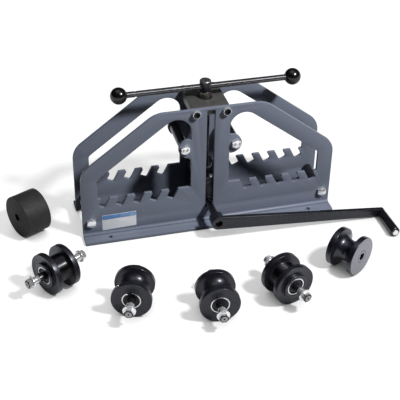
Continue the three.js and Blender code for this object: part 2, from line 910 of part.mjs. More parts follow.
diePlace("cylinder_die", cylinderDieRadius).add(
  piece("cylinder_die", "blackSteel", driveDie(cylinderOutside())),
);
const driveSizes = [driveDieRadius, driveDieWidth, driveRimWidth, driveGrooveDepth, driveChamfer];
diePlace("round_drive_die", driveDieRadius).add(
  piece("round_drive_die", "turnedSteel", driveDie(roundOutside(...driveSizes))),
);

// An idler die with its axle, bearings and bolts; the front end looks to the die's heading.
function addIdler(name, outside, radius) {
  const place = diePlace(name, radius);
  place.add(piece(`${name}_die`, "blackSteel", idlerDie(outside)));
  place.add(piece(`${name}_axle`, "blackSteel", idlerAxle()));
  const bearingMiddle = outside.at(-1)[1] - bearingRecess - bearingWidth / 2;
  for (const endName of Object.keys(ends)) {
    const end = new THREE.Group();
    if (endName === "rear") end.rotation.z = Math.PI;
    const ring = piece(`${name}_${endName}_bearing`, "darkZinc", bearing());
    ring.position.x = bearingMiddle;
    end.add(ring);
    end.add(piece(`${name}_${endName}_bolt`, "zinc", axleBolt()));
    place.add(end);
  }
}

const roundSizes = [roundDieRadius, roundDieWidth, roundRimWidth, roundGrooveDepth, dieChamfer];
for (const sideName of Object.keys(sides)) {
  addIdler(`flat_idler_${sideName}`, flatOutside(), flatDieRadius);
  addIdler(`round_idler_${sideName}`, roundOutside(...roundSizes), roundDieRadius);
}

// The origin is on the bench, under the middle of everything.
machine.updateMatrixWorld(true);
const extent = new THREE.Box3().setFromObject(machine, true);
const middle = extent.getCenter(new THREE.Vector3());
machine.position.set(-middle.x, -middle.y, -extent.min.z);

export default ringRoller;
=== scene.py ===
"""The looks of the ring roller: detailed pieces, paints and metals, light and camera.

Lengths in the shapes are millimetres; MM turns them into metres.
"""

import json
import math

import bmesh
import bpy
from mathutils import Matrix, Vector


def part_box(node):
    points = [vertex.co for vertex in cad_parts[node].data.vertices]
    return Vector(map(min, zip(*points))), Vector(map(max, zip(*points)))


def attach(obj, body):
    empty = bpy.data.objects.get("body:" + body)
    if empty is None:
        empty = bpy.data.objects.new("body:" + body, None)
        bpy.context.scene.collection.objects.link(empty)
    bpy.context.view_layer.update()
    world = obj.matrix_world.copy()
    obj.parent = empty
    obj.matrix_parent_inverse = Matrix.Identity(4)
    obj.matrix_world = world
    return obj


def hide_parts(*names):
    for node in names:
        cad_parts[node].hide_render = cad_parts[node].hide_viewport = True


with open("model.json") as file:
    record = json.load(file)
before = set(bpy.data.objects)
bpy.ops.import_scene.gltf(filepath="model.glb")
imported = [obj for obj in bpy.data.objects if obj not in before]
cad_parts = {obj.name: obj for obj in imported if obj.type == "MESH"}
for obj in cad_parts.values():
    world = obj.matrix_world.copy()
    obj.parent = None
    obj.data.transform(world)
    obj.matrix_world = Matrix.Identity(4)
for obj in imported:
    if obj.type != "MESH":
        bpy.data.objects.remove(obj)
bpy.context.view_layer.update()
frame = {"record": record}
scene = bpy.context.scene
MM = 0.001
record = frame["record"]
body_of = {node: body for body, nodes in record["behaviour"]["bodies"].items() for node in nodes}
slot_of = {entry["node"]: entry["material_slot"] for entry in record["subparts"]}

# Camera: the photograph's place and angle
lens = bpy.data.cameras.new("camera")
lens.sensor_width = 36
lens.lens = 93.466
lens.clip_end = 200
camera = bpy.data.objects.new("camera", lens)
camera.location = (-0.46537, -1.55773, 1.24827)
camera.rotation_euler = (0.966486, -0.016481, -0.261259)
scene.collection.objects.link(camera)
scene.camera = camera


# Materials
class Tree:
    """A node tree that is built by feeding sockets with values or with other sockets."""

    def __init__(self, tree):
        self.tree = tree

    def add(self, kind, inputs=None, **settings):
        node = self.tree.nodes.new(kind)
        for key, value in settings.items():
            setattr(node, key, value)
        for key, value in (inputs or {}).items():
            self.feed(node.inputs[key], value)
        return node

    def feed(self, socket, value):
        if isinstance(value, bpy.types.NodeSocket):
            self.tree.links.new(value, socket)
        else:
            socket.default_value = value

    def calc(self, operation, a, b):
        return self.add("ShaderNodeMath", {0: a, 1: b}, operation=operation).outputs[0]

    def spread(self, value, low, high, start, end, **settings):
        """Turns values from start to end into values from low to high."""
        inputs = {"Value": value, "From Min": start, "From Max": end, "To Min": low, "To Max": high}
        return self.add("ShaderNodeMapRange", inputs, **settings).outputs["Result"]

    def mix(self, factor, a, b):
        mix = self.add("ShaderNodeMix", data_type="RGBA")
        for index, value in ((0, factor), (6, a), (7, b)):
            self.feed(mix.inputs[index], value)
        return mix.outputs[2]


class Look(Tree):
    """A node material built round one Principled shader."""

    def __init__(self, name, roughness, metallic=0.0, **sockets):
        self.material = bpy.data.materials.new(name)
        self.material.use_nodes = True
        super().__init__(self.material.node_tree)
        self.shader = self.tree.nodes["Principled BSDF"]
        self.shader.inputs["Roughness"].default_value = roughness
        self.shader.inputs["Metallic"].default_value = metallic
        for socket, value in sockets.items():
            self.shader.inputs[socket.replace("_", " ")].default_value = value
        self.place = self.add("ShaderNodeTexCoord").outputs["Object"]

    def noise(self, scale, detail):
        inputs = {"Vector": self.place, "Scale": scale, "Detail": detail}
        return self.add("ShaderNodeTexNoise", inputs).outputs["Fac"]

    def turning(self, scale):
        """Tool marks round the piece's own Z: a one-way noise over radius plus height."""
        split = self.add("ShaderNodeSeparateXYZ", {0: self.place}).outputs
        squares = [self.calc("MULTIPLY", split[axis], split[axis]) for axis in (0, 1)]
        radius = self.calc("POWER", self.calc("ADD", *squares), 0.5)
        run = self.calc("ADD", radius, split[2])
        inputs = {"W": run, "Scale": scale, "Detail": 2.0}
        return self.add("ShaderNodeTexNoise", inputs, noise_dimensions="1D").outputs["Fac"]

    def colour(self, factor, dark, light, start=0.3, end=0.7):
        factor = self.spread(factor, 0.0, 1.0, start, end)
        self.feed(self.shader.inputs["Base Color"], self.mix(factor, (*dark, 1), (*light, 1)))
        return self

    def rough(self, factor, low, high):
        self.feed(self.shader.inputs["Roughness"], self.spread(factor, low, high, 0.3, 0.7))
        return self

    def bump(self, factor, distance, strength):
        inputs = {"Height": factor, "Distance": distance, "Strength": strength}
        normal = self.add("ShaderNodeBump", inputs).outputs["Normal"]
        self.feed(self.shader.inputs["Normal"], normal)
        return self


# Turning marks per metre, fine and coarse
FINE_MARKS, COARSE_MARKS = 2600, 1800


def enamel():
    look = Look("grey_enamel", 0.30, Specular_IOR_Level=0.24)
    look.colour(look.noise(14, 4), (0.195, 0.220, 0.284), (0.207, 0.233, 0.300))
    look.rough(look.noise(40, 4), 0.30, 0.36)
    return look.bump(look.noise(380, 2), 0.00008, 0.4)


def olive():
    look = Look("olive_enamel", 0.42)
    look.colour(look.noise(90, 4), (0.060, 0.060, 0.059), (0.086, 0.086, 0.083))
    look.rough(look.noise(160, 4), 0.40, 0.55)
    return look.bump(look.noise(700, 3), 0.0001, 0.6)


def black_oxide(name, dark, light, rough, gloss=0.0):
    """Blackened steel with turning marks, under a film of oil as strong as gloss."""
    sheen = {"Specular_IOR_Level": 0.5, "Specular_Tint": (0.82, 0.85, 1, 1)}
    look = Look(name, rough, metallic=0.4, Coat_Weight=gloss, Coat_Roughness=0.24, **sheen)
    look.colour(look.noise(120, 5), dark, light)
    look.rough(look.turning(900), rough - 0.06, rough + 0.08)
    return look.bump(look.turning(FINE_MARKS), 0.00004, 0.35)


def bright(name, dark, light, low, high, marks=FINE_MARKS, metallic=1.0, rings=0):
    """Bare or plated steel; rings gives its colour the scale of turned rings."""
    look = Look(name, low, metallic)
    look.colour(look.turning(rings) if rings else look.noise(140, 4), dark, light)
    look.rough(look.turning(1200), low, high)
    return look.bump(look.turning(marks), 0.00003, 0.3)


def brushed(name, dark, light, low, high):
    """Steel ground round the piece's own Z, so that a highlight runs along it."""
    look = Look(name, low, 1.0, Anisotropic=0.9, Anisotropic_Rotation=0.25)
    look.colour(look.noise(140, 4), dark, light)
    look.rough(look.noise(90, 4), low, high)
    tangent = look.add("ShaderNodeTangent", direction_type="RADIAL", axis="Z").outputs[0]
    look.feed(look.shader.inputs["Tangent"], tangent)
    return look


def plastic(name, shade, low, high, even=0.8, **sockets):
    """A smooth finish; the closer even is to one, the less its shade varies."""
    look = Look(name, low, **sockets)
    look.colour(look.noise(80, 3), [v * even for v in shade], [v / even for v in shade])
    look.rough(look.noise(220, 4), low, high)
    return look.bump(look.noise(900, 2), 0.00004, 0.3)


# By the material slots of the record
LOOKS = {
    "grey_paint": enamel(),
    "dark_paint": olive(),
    "black_steel": black_oxide(
        "black_oxide_steel", (0.011, 0.011, 0.015), (0.020, 0.020, 0.027), 0.36, gloss=0.4
    ),
    "zinc": bright(
        "bright_zinc", (0.90, 0.905, 0.92), (0.97, 0.975, 0.99), 0.09, 0.20, metallic=0.72
    ),
    "dark_zinc": bright("ground_steel", (0.34, 0.34, 0.35), (0.50, 0.50, 0.52), 0.20, 0.34),
    "turned_steel": black_oxide(
        "turned_die_steel", (0.007, 0.0075, 0.012), (0.015, 0.016, 0.025), 0.33, gloss=0.65
    ),
    "bronze": bright("oiled_bronze", (0.12, 0.112, 0.092), (0.21, 0.198, 0.168), 0.22, 0.36),
    "black_plastic": plastic("polished_black", (0.0035, 0.0035, 0.004), 0.16, 0.22),
    "grip_plastic": plastic("grip_black", (0.007, 0.007, 0.008), 0.18, 0.28),
}
# A darker steel for the idler bolts' end faces: painted shade, as these faces turn away from the
# lamp.
painted_shade_end_steel = bright(
    "bolt_end_painted_shade", (0.24, 0.24, 0.245), (0.38, 0.38, 0.39), 0.30, 0.45, COARSE_MARKS
)
polished_steel = brushed(
    "polished_black_steel", (0.11, 0.11, 0.115), (0.17, 0.17, 0.178), 0.44, 0.52
)
head_steel = black_oxide(
    "screw_head_steel", (0.010, 0.010, 0.012), (0.020, 0.020, 0.024), 0.24, gloss=0.1
)
core_steel = brushed("polished_core_steel", (0.045, 0.045, 0.048), (0.07, 0.07, 0.075), 0.34, 0.40)
shaft_steel = bright("shaft_steel", (0.06, 0.06, 0.064), (0.10, 0.10, 0.106), 0.18, 0.28)
# A lighter satin steel for the top face of the lead screw's head: its lighter colour is painted
# light on that face.
painted_light_top_steel = bright(
    "painted_light_top_steel", (0.17, 0.17, 0.178), (0.26, 0.26, 0.27), 0.34, 0.48, metallic=0.85
)
dull_steel = plastic(
    "dull_black_steel", (0.030, 0.030, 0.031), 0.55, 0.65, even=0.85, Specular_IOR_Level=0.25
)
# Near-black for hex sockets, dimples and turned-off head corners: painted shade in these hollows
# and edges.
painted_shade_black = plastic("painted_shade_black", (0.006, 0.006, 0.006), 0.55, 0.7)
faced_steel = bright(
    "faced_steel", (0.22, 0.225, 0.25), (0.34, 0.347, 0.385), 0.34, 0.46, COARSE_MARKS, rings=420
)
sticker_paper = plastic("sticker_paper", (0.90, 0.92, 0.96), 0.30, 0.42, even=0.96)
sticker_blue = plastic("sticker_blue", (0.12, 0.28, 0.60), 0.28, 0.40)
sticker_sky = plastic("sticker_sky", (0.24, 0.42, 0.70), 0.28, 0.40)
bearing_steel = black_oxide("bearing_steel", (0.014, 0.014, 0.015), (0.028, 0.028, 0.030), 0.30)
rubber_seal = plastic("bearing_seal", (0.008, 0.008, 0.008), 0.45, 0.60)


# Shapes: each part is a list of points and a list of faces
HEX_STEPS = 72
SHARP_DEGREES = 32


def rounded(corners, closed=True, steps=5):
    """Corners of A, B and an optional fillet radius, as a line of points."""
    line = []
    for index, (a, b, *fillet) in enumerate(corners):
        here = Vector((a, b))
        if not fillet or (not closed and index in (0, len(corners) - 1)):
            line.append(here)
            continue
        before = Vector(corners[index - 1][:2])
        after = Vector(corners[(index + 1) % len(corners)][:2])
        incoming, outgoing = (here - before).normalized(), (after - here).normalized()
        turn = math.atan2(incoming.cross(outgoing), incoming.dot(outgoing))
        start = here - incoming * fillet[0] * math.tan(abs(turn) / 2)
        inward = Vector((-incoming.y, incoming.x)) * fillet[0] * math.copysign(1, turn)
        count = max(2, math.ceil(steps * abs(turn) / (math.pi / 2)))
        for step in range(count + 1):
            spoke = -inward
            spoke.rotate(Matrix.Rotation(turn * step / count, 2))
            line.append(start + inward + spoke)
    return [tuple(point) for point in line]


def polar(radius, angle):
    return radius * math.cos(angle), radius * math.sin(angle)


def arc(radius, start, end, steps):
    return [polar(radius, start + (end - start) * k / steps) for k in range(steps + 1)]


def circle(radius, height, steps=96):
    return [(*polar(radius, 2 * math.pi * k / steps), height) for k in range(steps)]


def mirrored(profile):
    """The lower half of a turned shape that is the same at both ends."""
    return [(radius, -height, *fillet) for radius, height, *fillet in profile[::-1] if height > 0]


def loft(rings, closed=False):
    """Rings of the same number of points, skinned in order, with both ends capped unless closed."""
    count = len(rings[0])
    faces = []
    for first in range(len(rings) if closed else len(rings) - 1):
        a, b = first * count, (first + 1) % len(rings) * count
        faces += [(a + k, a + (k + 1) % count, b + (k + 1) % count, b + k) for k in range(count)]
    if not closed:
        last = (len(rings) - 1) * count
        faces += [tuple(range(count))[::-1], tuple(range(last, last + count))]
    return [point for ring in rings for point in ring], faces


def lathe(profile, steps=96, closed=False):
    """A turned shape round Z: pairs of radius and height, with an optional fillet."""
    line = [point for point in rounded(profile, closed) if point[0] > 0]
    return loft([circle(radius, height, steps) for radius, height in line], closed)


def hexagon_ring(flats, height, steps=HEX_STEPS, round_off=0.0):
    """A hexagon of the given width across its flats, with its corners turned off."""
    ring = []
    for k in range(steps):
        angle = 2 * math.pi * k / steps
        reach = flats / 2 / math.cos((angle + math.pi / 6) % (math.pi / 3) - math.pi / 6)
        reach = min(reach, flats / math.sqrt(3) - round_off)
        ring.append((*polar(reach, angle), height))
    return ring


def hexagon_head(flats, low, high, dimple=(), crown=0.94):
    """A hexagon head whose top corners are turned off at 30 degrees.

    The crown is the share of the flats that stays level; a dimple has a radius and a depth.
    """
    rim = flats / 2 * crown
    top = []
    for x, y, _ in hexagon_ring(flats, high):
        reach = math.hypot(x, y)
        top.append((x, y, high - (reach - rim) * 0.5))
    face = [(x * rim / math.hypot(x, y), y * rim / math.hypot(x, y), high) for x, y, _ in top]
    rings = [hexagon_ring(flats, low), top, face]
    if dimple:
        radius, depth = dimple
        rings += [circle(radius, high, HEX_STEPS), circle(radius * 0.85, high - depth, HEX_STEPS)]
    return loft(rings)


def socket_head(radius, high, flats, depth, edge, steps=HEX_STEPS):
    """A round head with a hexagon socket."""
    shoulder = (radius - 0.3 * edge, high - 0.3 * edge)
    rim = [(radius, 0), (radius, high - edge), shoulder, (radius - edge, high)]
    rings = [circle(*point, steps) for point in rim]
    rings += [hexagon_ring(flats, height, steps) for height in (high, high - depth)]
    return loft(rings)


def evaluated_mesh(obj):
    graph = bpy.context.evaluated_depsgraph_get()
    return bpy.data.meshes.new_from_object(obj.evaluated_get(graph))


def sheet(loops, thickness, edge):
    """A flat sheet from an outline and its holes, centred on Z zero, with softened edges."""
    curve = bpy.data.curves.new("outline", "CURVE")
    curve.dimensions = "2D"
    curve.fill_mode = "BOTH"
    curve.extrude = thickness / 2 - edge
    curve.bevel_depth = edge
    curve.bevel_resolution = 2
    curve.offset = -edge
    for loop in loops:
        spline = curve.splines.new("POLY")
        spline.points.add(len(loop) - 1)
        for point, (a, b) in zip(spline.points, loop):
            point.co = (a, b, 0, 1)
        spline.use_cyclic_u = True
    maker = bpy.data.objects.new("outline", curve)
    scene.collection.objects.link(maker)
    mesh = evaluated_mesh(maker)
    points = [tuple(vertex.co) for vertex in mesh.vertices]
    faces = [tuple(face.vertices) for face in mesh.polygons]
    bpy.data.objects.remove(maker)
    bpy.data.curves.remove(curve)
    bpy.data.meshes.remove(mesh)
    return points, faces


def moved(part, matrix):
    return [tuple(matrix @ Vector(point)) for point in part[0]], part[1]


def stood(part, y=0):
    """A flat shape stood up in X and Z, its middle at the given Y."""
    return moved(part, Matrix.Translation((0, y, 0)) @ Matrix.Rotation(math.pi / 2, 4, "X"))


def block(low, high, edge):
    """A box with softened edges."""
    width, depth = high[0] - low[0], high[1] - low[1]
    corners = [(0, 0, edge), (width, 0, edge), (width, depth, edge), (0, depth, edge)]
    part = sheet([rounded(corners)], high[2] - low[2], edge)
    return moved(part, Matrix.Translation((low[0], low[1], (low[2] + high[2]) / 2)))


def make(name, parts, matrix=Matrix()):
    """One mesh object from parts in millimetres."""
    points, faces = [], []
    for part in parts:
        faces += [tuple(index + len(points) for index in face) for face in part[1]]
        points += part[0]
    mesh = bpy.data.meshes.new(name)
    mesh.from_pydata([Vector(point) * MM for point in points], [], faces)
    work = bmesh.new()
    work.from_mesh(mesh)
    bmesh.ops.remove_doubles(work, verts=work.verts, dist=1e-7)
    bmesh.ops.recalc_face_normals(work, faces=work.faces)
    work.to_mesh(mesh)
    work.free()
    mesh.polygons.foreach_set("use_smooth", [True] * len(mesh.polygons))
    mesh.set_sharp_from_angle(angle=math.radians(SHARP_DEGREES))
    obj = bpy.data.objects.new(name, mesh)
    scene.collection.objects.link(obj)
    obj.matrix_world = matrix
    return obj


def carved(part, *cutters):
    """One closed shell with other shapes cut out of it."""
    obj = make("carved", [part])
    for cutter in cutters:
        tool = make("cutter", [cutter])
        change = obj.modifiers.new("cut", "BOOLEAN")
        change.operation = "DIFFERENCE"
        change.solver = "EXACT"
        change.object = tool
        bpy.context.view_layer.update()
        obj.data = evaluated_mesh(obj)
        obj.modifiers.clear()
        bpy.data.objects.remove(tool)
    points = [tuple(vertex.co / MM) for vertex in obj.data.vertices]
    faces = [tuple(face.vertices) for face in obj.data.polygons]
    bpy.data.objects.remove(obj)
    return points, faces


def dress(node, parts, matrix, look=None, name=None, stands_in=True):
    """A detailed piece for a CAD node, on the node's body and in its slot's finish."""
    obj = make(name or node + "_detailed", parts, matrix)
    obj.data.materials.append((look or LOOKS[slot_of[node]]).material)
    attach(obj, body_of[node])
    if stands_in:
        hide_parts(node)
    return obj


def off_axis(centre):
    return math.hypot(centre.x, centre.y)


def second_look(obj, look, chosen):
    """Gives the faces that chosen accepts, by centre and normal in millimetres, another finish."""
    obj.data.materials.append(look.material)
    for face in obj.data.polygons:
        if chosen(face.center / MM, face.normal):
            face.material_index = len(obj.data.materials) - 1


# Places
front_low, front_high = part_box("front_side_plate")
rear_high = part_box("rear_side_plate")[1]
middle = Vector(((front_low.x + front_high.x) / 2, (front_low.y + rear_high.y) / 2, 0))
machine = Matrix.Translation(middle)


def at(x, y, z):
    return machine @ Matrix.Translation(Vector((x, y, z)) * MM)


def aimed(place, axis):
    """Turns a shape made round Z so that Z points along the named axis."""
    turns = {
        "x": Matrix.Rotation(math.pi / 2, 4, "Y"),
        "-x": Matrix.Rotation(-math.pi / 2, 4, "Y"),
        "y": Matrix.Rotation(-math.pi / 2, 4, "X"),
        "-y": Matrix.Rotation(math.pi / 2, 4, "X"),
    }
    return place @ turns[axis]


SIDES = {"left": -1, "right": 1}
ENDS = {"front": -1, "rear": 1}

# Sizes from the machine's middle, which is on the bench between the side plates. The spacers,
# the idlers' axles and the nut block end at ROD_END; an idler bolt's head starts at HEAD_START.
PLATE = 6.4
OUTER_Y = 47.85
INNER_Y = OUTER_Y - PLATE
HALF_LENGTH = 260
PLATE_TOP = 263.7
BEND_INSIDE, BEND_OUTSIDE = 5, 11.4
FLANGE_EDGE = 77.55
LAP = 1.2
SHAFT_Z = 42.4
BAR_Z = 286
BLOCK_BOTTOM = 245.4
ROD_END = 41.15
CHEEK_Y = 36.1
BRIDGE_BOTTOM, BRIDGE_TOP = 87.3, 99.3
BORE_FLATS = 14.4
CRANK_REACH, CRANK_DROP = 352, 31.8
ARM, ARM_Y = 8.6, 118.2
SHAFT_FLATS = 13.8
BEARING_DEPTH, SEAT_DEPTH = 2.2, 11.3
BOLT_HOLE = 5.3
HEAD_START = 64
BLOCK_SCREW = (30.4, 255.4)
BOLTS = {"upper": (51.75, 178.6), "lower": (243, 35)}


# Side plates
def window_loop(side):
    """A window with its five leaning axle slots and the ear that carries the upper bolt."""
    lean, half, drop = math.radians(26.1), 7.65, 22.0
    mouth = half / math.cos(lean)
    ledge, inner, outer = 87.7, 38.9, 228.2
    first, pitch = 72.5, 34.74
    ear_x, ear_z, ear_radius = 43.3, 177.6, 21
    corners = [(inner, ledge, 0.8)]
    for index in range(5):
        x = first + pitch * index
        end = (x + math.sin(lean) * drop, ledge - math.cos(lean) * drop)
        corners.append((x - mouth, ledge, 0.8))
        for way in (-1, 1):
            aside = (way * math.cos(lean) * half, way * math.sin(lean) * half)
            corners.append((end[0] + aside[0], end[1] + aside[1], 3.5))
        corners.append((x + mouth, ledge, 3.0))
    corners += [(outer, ledge, 0.8), (outer, 132.5, 10), (inner, 275.9, 29.5)]
    ear_turn = math.acos((inner - ear_x) / ear_radius)
    corners += [(ear_x + x, ear_z + z) for x, z in arc(ear_radius, ear_turn, -ear_turn, 24)]
    return [(side * x, z) for x, z in rounded(corners, steps=8)]


def hole_loop(x, z, radius):
    return [(x + px, z + pz) for px, pz, _ in circle(radius, 0, 40)]


def bend_part():
    """The bend between wall and flange, which laps a little over both."""
    quarter = -math.pi / 2
    rings = []
    for from_end, inset in ((0, 0.45), (0.13, 0.13), (0.45, 0)):
        outside, inside = BEND_OUTSIDE - inset, BEND_INSIDE + inset
        line = [(outside, LAP), *arc(outside, 0, quarter, 12), (-LAP, -outside), (-LAP, -inside)]
        line += [*arc(inside, quarter, 0, 12), (inside, LAP)]
        line = [(y - OUTER_Y - BEND_INSIDE, z + BEND_OUTSIDE) for y, z in line]
        rings.append((HALF_LENGTH - from_end, line))
    left = [[(-x, y, z) for y, z in line] for x, line in rings]
    return loft(left + [[(x, y, z) for y, z in line] for x, line in rings[::-1]])


def plate_parts():
    """The front plate: the wall, the flange and the bend between them."""
    foot = BEND_OUTSIDE - 1
    bottom = [(-HALF_LENGTH, foot), (HALF_LENGTH, foot)]
    right = [(HALF_LENGTH, 150.1, 43), (110, PLATE_TOP, 50)]
    left = [(-x, z, radius) for x, z, radius in right[::-1]]
    wall = rounded(bottom + right + left, steps=14)
    half, low, high = 8.25, 34, 258.8
    guide = rounded([(-half, low, 3), (half, low, 3), (half, high, 3), (-half, high, 3)])
    loops = [wall, guide]
    for side in SIDES.values():
        loops.append(window_loop(side))
        for x, z in (BLOCK_SCREW, *BOLTS.values()):
            loops.append(hole_loop(side * x, z, BOLT_HOLE))
    parts = [stood(sheet(loops, PLATE, 0.45), -OUTER_Y + PLATE / 2)]
    near = -FLANGE_EDGE
    far = -OUTER_Y - BEND_INSIDE + 1
    flange = [(-HALF_LENGTH, near, 1.2), (HALF_LENGTH, near, 1.2)]
    flange += [(HALF_LENGTH, far), (-HALF_LENGTH, far)]
    bench_holes = [hole_loop(side * 209, -65.45, 4.7) for side in SIDES.values()]
    flat = sheet([rounded(flange)] + bench_holes, PLATE, 0.45)
    parts.append(moved(flat, Matrix.Translation((0, 0, PLATE / 2))))
    parts.append(bend_part())
    return parts


front_plate = plate_parts()
for end_name, end in ENDS.items():
    flip = Matrix.Diagonal((1, -end, 1, 1))
    dress(f"{end_name}_side_plate", [moved(part, flip) for part in front_plate], machine)

# Nut block, nut and their screws
nut_bore = lathe([(0, 240), (12.6, 240), (12.6, 262.2), (14.2, 263.8), (14.2, 270), (0, 270)])
nut_block = block((-37.7, -ROD_END, BLOCK_BOTTOM), (37.7, ROD_END, PLATE_TOP), 0.8)
dress("nut_block", [carved(nut_block, nut_bore)], machine)
nut = [(10.3, BLOCK_BOTTOM), (12.3, BLOCK_BOTTOM), (12.3, 277.1, 0.7), (10.3, 277.1, 0.4)]
dress("screw_nut", [lathe(nut, closed=True)], machine)


def frame_bolt():
    shank = [(0, -24.1), (4.4, -24.1), (5, -23.3), (5, 0.5), (0, 0.5)]
    return [hexagon_head(17, 0, 6.6), lathe(shank, 48)]


def cap_screw():
    head = socket_head(8, 7.4, 9.6, 4.5, 0.9)
    shank = lathe([(0, -26.1), (5, -26.1), (5, 0.5), (0, 0.5)], 48)
    return [head, shank]


def tapped_rod(radius, end, tap_floor, mouth):
    """A round rod with a tapped hole in each end."""
    half = [(0, tap_floor), (BOLT_HOLE, tap_floor), (BOLT_HOLE, end, mouth), (radius, end, 0.6)]
    return lathe(half + mirrored(half), 64)


for side_name, side in SIDES.items():
    for end_name, end in ENDS.items():
        out = "y" if end > 0 else "-y"
        seat = end * (OUTER_Y + 0.3)
        x, z = BLOCK_SCREW
        place = aimed(at(side * x, seat, z), out)
        screw = dress(f"block_screw_{end_name}_{side_name}", cap_screw(), place)
        # The socket and the inner part of the head's top get painted shade, which leaves only a
        # narrow lit rim.
        second_look(screw, painted_shade_black, lambda centre, _: centre.z > 2 and off_axis(centre) < 6.6)
        for level, (x, z) in BOLTS.items():
            place = aimed(at(side * x, seat, z), out)
            dress(f"{level}_bolt_{end_name}_{side_name}", frame_bolt(), place)
    for level, (x, z) in BOLTS.items():
        place = aimed(at(side * x, 0, z), "y")
        dress(f"{level}_spacer_{side_name}", [tapped_rod(10, ROD_END, 22.8, 0.5)], place)


# Lead screw, sliding bar and knobs
def screw_thread(low, high, lead, outer, root, steps=48):
    """A single-start trapezoid thread as one twisted skin."""
    rings = []
    count = round((high - low) / 0.42)
    run_out = 2.0
    for index in range(count + 1):
        height = low + (high - low) * index / count
        ends = min(height - low, high - height, run_out) / run_out
        ring = []
        for k in range(steps):
            phase = ((height / lead - k / steps) % 1.0) * 4
            rise = max(0.0, min(1.0, phase if phase < 1 else 3 - phase))
            reach = root + (outer - root) * rise * ends
            ring.append((*polar(reach, 2 * math.pi * k / steps), height))
        rings.append(ring)
    return loft(rings)


foot = [(0, 90.3), (7, 90.3, 0.5), (7, 99.6), (10, 99.6, 0.5), (10, 103.1, 0.5)]
foot += [(7, 103.1), (7, 109), (0, 109)]
head = [(0, 270), (7.6, 270), (7.6, 277.4), (10.8, 277.4, 0.5), (10.8, 281.5), (11.3, 284)]
head += [(11.3, 298.4, 0.5), (10.2, 299.7, 0.5), (0, 299.7)]
cross_hole = lathe([(0, -20), (6.3, -20), (6.3, 20), (0, 20)], 64)
cross_hole = moved(cross_hole, aimed(Matrix.Translation((0, 0, BAR_Z)), "x"))
screw = dress("lead_screw", [lathe(foot), carved(lathe(head), cross_hole)], machine)
second_look(screw, head_steel, lambda centre, _: centre.z > 277)
# The head's top face gets the lighter steel as painted light; the sides stay dark.
second_look(screw, painted_light_top_steel, lambda centre, _: centre.z > 298)
thread = screw_thread(108.7, 277.3, 5, 10, 7.6)
dress("lead_screw", [thread], machine, name="lead_screw_thread", stands_in=False)

bar_line = [(0, -179.4), (6, -179.4), (6, -141), (5.4, -139.5, 0.4), (5.4, -136.5, 0.4)]
bar_line += [(6, -135, 0.3), (6, 186.8), (0, 186.8)]
dress("tommy_bar", [lathe(bar_line, 64)], aimed(at(0, 0, BAR_Z), "x"), polished_steel)


def knob():
    """A ball with a blind bore, which opens towards Z."""
    radius, bore, bore_floor = 16.7, 6.3, -8.65
    ball = arc(radius, -math.pi / 2, math.acos(bore / radius), 40)
    return lathe([(0, -radius), *ball[1:], (bore, bore_floor), (0, bore_floor)])


dress("ball_knob_left", [knob()], aimed(at(-171.1, 0, BAR_Z), "x"))
dress("ball_knob_right", [knob()], aimed(at(178.5, 0, BAR_Z), "-x"))

# Yoke
cheek = rounded([(-26, 23.4, 14), (26, 23.4, 14), (26, 87.0, 0.5), (-26, 87.0, 0.5)])
for end_name, end in ENDS.items():
    part = stood(sheet([cheek, hole_loop(0, SHAFT_Z, 10.8)], 10, 0.5), end * CHEEK_Y)
    dress(f"yoke_{end_name}_cheek", [part], machine)
    ring = lathe([(8.3, -5, 0.3), (10.5, -5, 0.3), (10.5, 5, 0.3), (8.3, 5, 0.3)], closed=True)
    dress(f"yoke_{end_name}_bush", [ring], aimed(at(0, end * CHEEK_Y, SHAFT_Z), "y"))
pilot = lathe([(0, 90), (7.3, 90), (7.3, 101), (0, 101)])
bridge = block((-26, -CHEEK_Y - 5, BRIDGE_BOTTOM), (26, CHEEK_Y + 5, BRIDGE_TOP), 0.7)
dress("yoke_bridge", [carved(bridge, pilot)], machine)
keeper = [(10.3, 99.6), (17, 99.6, 0.4), (17, 108.4, 0.8), (7.3, 108.4, 0.4)]
keeper += [(7.3, 103.4), (10.3, 103.4)]
dress("screw_keeper", [lathe(keeper, closed=True)], machine)
for end_name, end in ENDS.items():
    for side_name, x in (("left", -17), ("right", 5.5)):
        name = f"bridge_screw_{end_name}_{side_name}"
        place = at(x, end * CHEEK_Y, BRIDGE_TOP)
        head = socket_head(4.2, 4, 3, 2.8, 0.5, 48)
        dress("yoke_bridge", [head], place, LOOKS["zinc"], name, stands_in=False)

# Crank: heights of the turned shapes run from the machine's middle out to the front
crank = at(0, 0, SHAFT_Z) @ Matrix.Rotation(math.asin(CRANK_DROP / CRANK_REACH), 4, "Y")
facing = aimed(crank, "-y")
rear, front, tip = [hexagon_ring(SHAFT_FLATS, z, round_off=0.8) for z in (-41.1, 113.8, 114.35)]
tip = [(x * 0.93, y * 0.93, z) for x, y, z in tip]
shaft = [loft([rear, front, tip])]
for low, high in ((31.4, OUTER_Y), (-OUTER_Y, -31.4)):
    shaft.append(lathe([(0, low), (8, low, 0.4), (8, high, 0.4), (0, high)], 64))
dress("drive_shaft", shaft, facing, shaft_steel)


def bored(line, steps):
    """A turned outside, from its low end to its high end, round a hexagon bore."""
    low, high = [hexagon_ring(BORE_FLATS, height, steps) for height in (line[0][1], line[-1][1])]
    return loft([low, *[circle(*point, steps) for point in line], high], closed=True)


def arm_loops():
    reach, half, hub = 360.5, 8.7, 14.3
    turn = math.acos((hub - half) / reach)
    corners = arc(hub, turn, 2 * math.pi - turn, 40) + [(reach, -half, 8.4), (reach, half, 8.4)]
    bore = [(x, y) for x, y, _ in hexagon_ring(BORE_FLATS, 0)]
    return [rounded(corners), bore, hole_loop(CRANK_REACH, 0, 4.3)]


